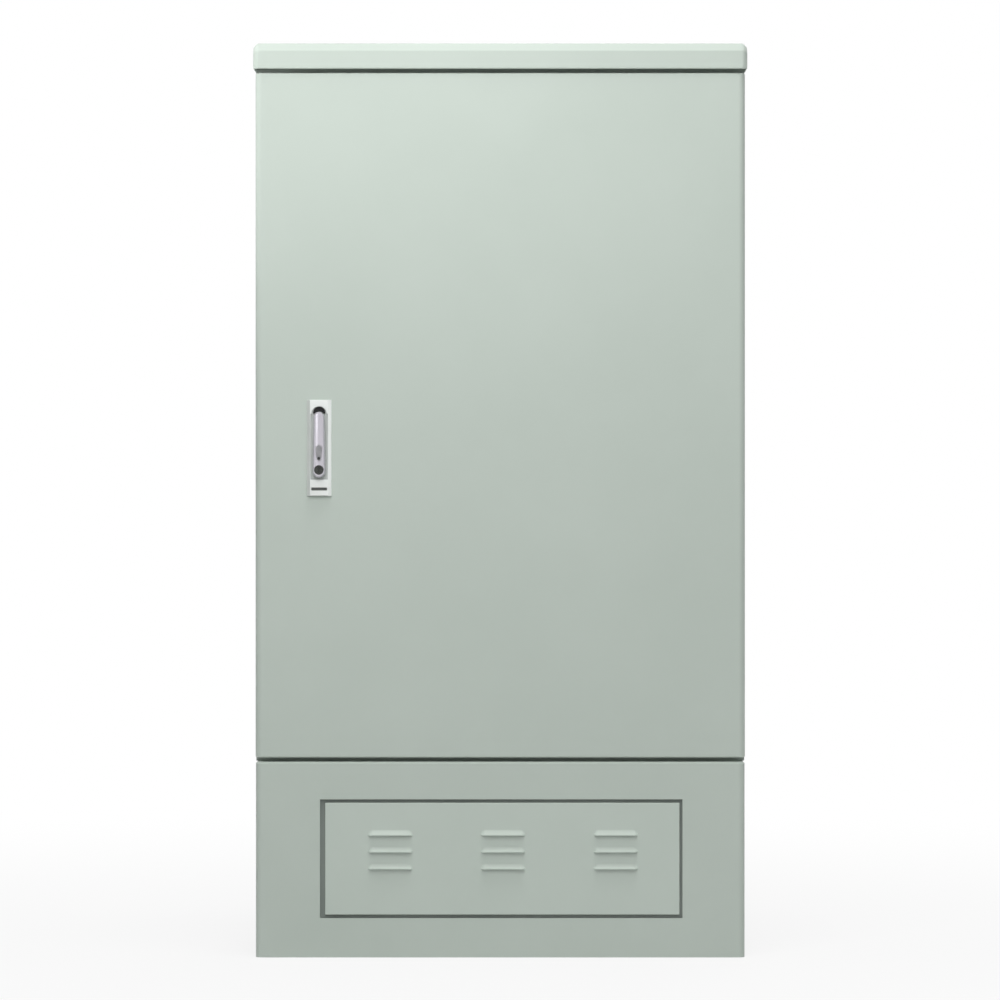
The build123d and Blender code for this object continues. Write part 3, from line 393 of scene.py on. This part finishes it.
def soften_roof():
    """The roof cap with rounded folds."""
    low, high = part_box("roof_cap")
    shape = node_shape("roof_cap")
    end = high.x - roof_end
    foot = low.z + roof_foot
    hem = low.z + roof_hem
    round_edges(shape, lambda middle: middle.z > foot and abs(middle.x) > end, *roof_end_rounding)
    round_edges(shape, lambda middle: middle.z > foot and abs(middle.x) < end, *roof_long_rounding)
    round_edges(shape, lambda middle: middle.z < hem, *roof_hem_rounding)
    bmesh.ops.dissolve_degenerate(shape, dist=join_reach, edges=shape.edges[:])
    piece = place_piece(shape, "roof_pressing", "cabinet", ["powder_coat"])
    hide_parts("roof_cap")


def faces_front(face):
    """Whether a face belongs to the front or to its rounding, and not to a wall."""
    return face.normal.y < wall_slope


def crown(shape, low, high):
    """Lets the lever's front fall away towards its long sides."""
    middle = (low.x + high.x) / 2
    shape.normal_update()
    bmesh.ops.triangulate(shape, faces=[face for face in shape.faces if faces_front(face)])
    for step in range(1, crown_steps):
        x = low.x + (high.x - low.x) * step / crown_steps
        shape.normal_update()
        parts = [face for face in shape.faces if faces_front(face)]
        for items in (shape.edges, shape.verts):
            parts += [item for item in items if any(faces_front(face) for face in item.link_faces)]
        bmesh.ops.bisect_plane(shape, geom=parts, dist=join_reach, plane_co=(x, 0, 0), plane_no=(1, 0, 0))
    for vertex in shape.verts:
        if vertex.co.y < low.y + crown_reach:
            vertex.co.y += rivet_play + lever_fall * ((vertex.co.x - middle) / lever_half_width) ** 2


def soften_handle():
    """The swing handle with a rounded and crowned front."""
    low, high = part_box("lock_handle")
    shape = node_shape("lock_handle")
    round_edges(shape, lambda middle: middle.y < low.y + lever_front, *lever_rounding)
    crown(shape, low, high)
    piece = place_piece(shape, "handle_casting", "handle", ["handle_casting"])
    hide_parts("lock_handle")


def soften_lock_base():
    """The lock's bezel: a bright front and right bevel, and a sunk tray and left bevel in a darker finish,
    which is painted shade.
    """
    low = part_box("lock_base")[0]
    shape = node_shape("lock_base")
    for face in shape.faces:
        center = face.calc_center_median()
        # The sunk tray and left bevel take the darker finish, painted shade
        if center.y > low.y + painted_shade_depth and center.x < low.x + painted_shade_width:
            face.material_index = 1
    round_edges(shape, lambda middle: middle.y < low.y + bezel_front, *bezel_rounding)
    piece = place_piece(shape, "lock_bezel", "door", ["lock_casting", "lock_painted_shade"])
    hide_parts("lock_base")


def louvre_depth(along, up):
    """How far a louvre stands out, by the distance along it from its middle and the height above its lip."""
    half_length = louvre_length / 2 - (louvre_length - louvre_top_length) / 2 * up / louvre_height
    end = min(max((half_length - abs(along)) / louvre_end_run, 0.0), 1.0)
    end = end * (2 - end)
    rise = min(max((up - louvre_lip) / (louvre_height - louvre_lip), 0.0), 1.0)
    return louvre_projection * end * (1 - rise) ** louvre_sweep


def panel_depth(x, z, columns, lips):
    """How far the panel's sheet stands out at a place, on the upper side where a lip is open."""
    for center in columns:
        for lip in lips:
            if abs(x - center) <= louvre_length / 2 and lip <= z <= lip + louvre_height:
                return louvre_depth(x - center, z - lip)
    return 0.0


def centers(middle, count, pitch):
    """Evenly spaced places about a middle."""
    return [middle + (index - (count - 1) / 2) * pitch for index in range(count)]


def grid_lines(start, stop, spans, steps):
    """Grid lines from start to stop, close together over each span and with one beside each of its ends."""
    lines = [start, stop]
    for first, last in spans:
        lines += [first + (last - first) * step / steps for step in range(steps + 1)]
        lines += [first - louvre_hem, last + louvre_hem]
    return sorted(lines)


def pressed_sheet(low, high):
    """The panel's front: one sheet with columns of pressed louvres, open along their lips."""
    front = low.y + louvre_projection
    columns = centers((low.x + high.x) / 2 + louvre_shift, louvre_columns, louvre_pitch_x)
    rows = centers((low.z + high.z) / 2 + louvre_rise, louvre_rows, louvre_pitch_z)
    lips = [row - louvre_height / 2 for row in rows]
    spans_x = [(center - louvre_length / 2, center + louvre_length / 2) for center in columns]
    spans_z = [(lip, lip + louvre_height) for lip in lips]
    lines_x = grid_lines(low.x, high.x, spans_x, louvre_steps_x)
    lines_z = grid_lines(low.z, high.z, spans_z, louvre_steps_z)

    shape = bmesh.new()
    flat = {}
    raised = {}
    for i, x in enumerate(lines_x):
        for j, z in enumerate(lines_z):
            out = panel_depth(x, z, columns, lips)
            raised[i, j] = shape.verts.new((x, front - out, z))
            flat[i, j] = raised[i, j]
            if z in lips and out > 0:
                flat[i, j] = shape.verts.new((x, front, z))
    for i in range(len(lines_x) - 1):
        for j in range(len(lines_z) - 1):
            shape.faces.new((raised[i, j], raised[i + 1, j], flat[i + 1, j + 1], flat[i, j + 1]))
    return shape


def on_rim(edge, low, high):
    """Whether an edge lies along one side of the panel."""
    first, second = (vertex.co for vertex in edge.verts)
    for axis, limit in ((0, low.x), (0, high.x), (2, low.z), (2, high.z)):
        if abs(first[axis] - limit) < join_reach and abs(second[axis] - limit) < join_reach:
            return True
    return False


def press_panel():
    """The access panel: its pressed front with edges folded back."""
    low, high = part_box("access_panel")
    shape = pressed_sheet(low, high)
    rim = [edge for edge in shape.edges if edge.is_boundary and on_rim(edge, low, high)]
    made = bmesh.ops.extrude_edge_only(shape, edges=rim)
    for item in made["geom"]:
        if isinstance(item, bmesh.types.BMVert):
            item.co.y = high.y
    bmesh.ops.recalc_face_normals(shape, faces=shape.faces[:])
    shape.faces.ensure_lookup_table()
    if shape.faces[0].normal.y > 0:
        bmesh.ops.reverse_faces(shape, faces=shape.faces[:])
    folds = [edge for edge in shape.edges if edge.is_manifold and edge.calc_face_angle() > fold_angle]
    folds = [edge for edge in folds if on_rim(edge, low, high)]
    bevel(shape, folds, *panel_rounding)
    bmesh.ops.solidify(shape, geom=shape.faces[:], thickness=panel_sheet)
    piece = place_piece(shape, "access_panel_pressing", "access_panel", ["panel_coat"])
    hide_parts("access_panel")


def raise_pad(outline, back, height):
    """A flat pad on an outline, with a narrow bevel round its front."""
    shape = bmesh.new()
    foot = [shape.verts.new((x, back, z)) for x, z in outline]
    base = shape.faces.new(foot)
    made = bmesh.ops.extrude_face_region(shape, geom=[base])
    front = [item for item in made["geom"] if isinstance(item, bmesh.types.BMVert)]
    bmesh.ops.translate(shape, verts=front, vec=(0, -height, 0))
    bmesh.ops.recalc_face_normals(shape, faces=shape.faces[:])
    edges = []
    for edge in shape.edges:
        if all(abs(vertex.co.y - back + height) < join_reach for vertex in edge.verts):
            edges.append(edge)
    bevel(shape, edges, *pad_rounding)
    return shape


def line_arch():
    """A dark pad in the rubber finish, in the arch above the handle's pivot and cut round the spindle's hub:
    painted shade for the hollow there.
    """
    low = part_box("lock_base")[0]
    pin_low, pin_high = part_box("handle_pin")
    pivot = (pin_low + pin_high) / 2
    outline = []
    for step in range(arch_steps + 1):
        angle = arch_start + (pi - 2 * arch_start) * step / arch_steps
        outline.append((pivot.x + arch_radius * cos(angle), pivot.z + arch_rise + arch_radius * sin(angle)))
    for step in range(arch_steps + 1):
        angle = hub_start + (pi - 2 * hub_start) * (arch_steps - step) / arch_steps
        outline.append((pivot.x + hub_room * cos(angle), pivot.z + hub_room * sin(angle)))
    shape = raise_pad(outline, low.y + arch_bottom, arch_height)
    place_piece(shape, "lock_arch_painted_shade", "door", ["rubber"])


def line_slot():
    """The dark strip at the bottom of the bezel's slot: painted shade for the slot's hollow."""
    low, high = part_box("lock_base")
    middle = (low.x + high.x) / 2
    level = low.z + slot_rise
    outline = []
    for end in (1, -1):
        for step in range(slot_steps + 1):
            angle = -pi / 2 + pi * step / slot_steps
            x = middle + end * (slot_length / 2 - slot_width / 2 + slot_width / 2 * cos(angle))
            outline.append((x, level + end * slot_width / 2 * sin(angle)))
    shape = raise_pad(outline, low.y + slot_bottom, slot_height)
    place_piece(shape, "lock_slot_painted_shade", "door", ["slot_shade"])


soften_roof()
soften_handle()
soften_lock_base()
press_panel()
line_arch()
line_slot()


def stud(shape, x, face_y, z, size, material_index):
    """Adds a box that stands out from a face to a mesh."""
    center = Matrix.Translation((x, face_y - size[1] / 2, z))
    made = bmesh.ops.create_cube(shape, size=1.0, matrix=center @ Matrix.Diagonal((*size, 1)))
    for vertex in made["verts"]:
        for face in vertex.link_faces:
            face.material_index = material_index


def terminal_blocks(node):
    """The comb-shaped terminal blocks on both strips of one module, with their contacts."""
    low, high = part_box(node)
    middle = (low.z + high.z) / 2
    shape = bmesh.new()
    for level in (middle - strip_offset, middle + strip_offset):
        for center in centers(0, block_count, block_pitch):
            stud(shape, center, low.y, level, block_size, 0)
            for rib in centers(center, rib_count, rib_pitch):
                stud(shape, rib, low.y, level, rib_size, 0)
            for gap in centers(center, rib_count - 1, rib_pitch):
                stud(shape, gap, low.y, level, contact_size, 1)
    place_piece(
        shape, node + "_terminals", "cabinet", ["module_plastic", "contact"], smooth=False
    )


for number in range(1, module_count + 1):
    terminal_blocks(f"termination_module_{number}")


def larger(tree, first, second):
    """The larger of two values."""
    node = tree.nodes.new("ShaderNodeMath")
    node.operation = "MAXIMUM"
    tree.links.new(first, node.inputs[0])
    tree.links.new(second, node.inputs[1])
    return node.outputs[0]


def backdrop_share(tree):
    """1 for rays that show the background, in a view, a reflection or a clear piece, and 0 for light."""
    path = tree.nodes.new("ShaderNodeLightPath")
    seen = larger(tree, path.outputs["Is Camera Ray"], path.outputs["Is Glossy Ray"])
    return larger(tree, seen, path.outputs["Is Transmission Ray"])


def light_world():
    """White behind the object, and a soft even fill on it."""
    world = bpy.data.worlds.new("studio")
    bpy.context.scene.world = world
    world.use_nodes = True
    tree = world.node_tree
    level = tree.nodes.new("ShaderNodeMapRange")
    level.inputs["To Min"].default_value = fill_level
    level.inputs["To Max"].default_value = 1.0
    tree.links.new(backdrop_share(tree), level.inputs["Value"])
    background = tree.nodes["Background"]
    background.inputs["Color"].default_value = white
    tree.links.new(level.outputs["Result"], background.inputs["Strength"])


def floor_finish():
    """A matt white that glows for the view, so that only a faint shadow is left near the object."""
    material, tree, shader, place = new_material("floor_white")
    shader.inputs["Base Color"].default_value = (floor_tone, floor_tone, floor_tone, 1)
    shader.inputs["Roughness"].default_value = 1.0
    shader.inputs["Specular IOR Level"].default_value = 0.0
    glow = tree.nodes.new("ShaderNodeEmission")
    reach = tree.nodes.new("ShaderNodeVectorMath")
    reach.operation = "LENGTH"
    tree.links.new(place, reach.inputs[0])
    level = tree.nodes.new("ShaderNodeMapRange")
    level.interpolation_type = "SMOOTHSTEP"
    level.inputs["From Max"].default_value = glow_reach
    level.inputs["To Min"].default_value = glow_near
    level.inputs["To Max"].default_value = glow_far
    tree.links.new(reach.outputs["Value"], level.inputs["Value"])
    share = tree.nodes.new("ShaderNodeMath")
    share.operation = "MULTIPLY"
    tree.links.new(backdrop_share(tree), share.inputs[0])
    tree.links.new(level.outputs["Result"], share.inputs[1])
    mix = tree.nodes.new("ShaderNodeMixShader")
    tree.links.new(share.outputs[0], mix.inputs["Fac"])
    tree.links.new(shader.outputs["BSDF"], mix.inputs[1])
    tree.links.new(glow.outputs["Emission"], mix.inputs[2])
    tree.links.new(mix.outputs["Shader"], tree.nodes["Material Output"].inputs["Surface"])
    return material


def lay_floor():
    """A plain white floor under the object."""
    shape = bmesh.new()
    bmesh.ops.create_grid(shape, x_segments=1, y_segments=1, size=floor_size / 2)
    mesh = bpy.data.meshes.new("floor")
    shape.to_mesh(mesh)
    shape.free()
    floor = bpy.data.objects.new("floor", mesh)
    floor.location.z = -floor_drop
    bpy.context.collection.objects.link(floor)
    mesh.materials.append(floor_finish())


def place_lamp(name):
    """A soft lamp that the camera doesn't see."""
    place, target, power, size, beam, shown_in_gloss = lamps[name]
    light = bpy.data.lights.new(name, "AREA")
    light.shape = "DISK"
    light.size = size
    light.spread = beam
    light.energy = power
    lamp = bpy.data.objects.new(name, light)
    lamp.location = place
    lamp.rotation_euler = (target - place).to_track_quat("-Z", "Y").to_euler()
    lamp.visible_camera = False
    lamp.visible_glossy = shown_in_gloss
    bpy.context.collection.objects.link(lamp)


def place_camera():
    """The photograph's straight front view."""
    lens = bpy.data.cameras.new("camera")
    lens.lens = camera_lens
    lens.sensor_width = camera_sensor
    lens.clip_end = camera_reach
    camera = bpy.data.objects.new("camera", lens)
    camera.location = (camera_x, door_plane - camera_distance, camera_z)
    camera.rotation_euler = (camera_tilt, 0, 0)
    bpy.context.collection.objects.link(camera)
    bpy.context.scene.camera = camera


light_world()
lay_floor()
for lamp_name in lamps:
    place_lamp(lamp_name)
place_camera()
bpy.context.scene.view_settings.view_transform = "Standard"
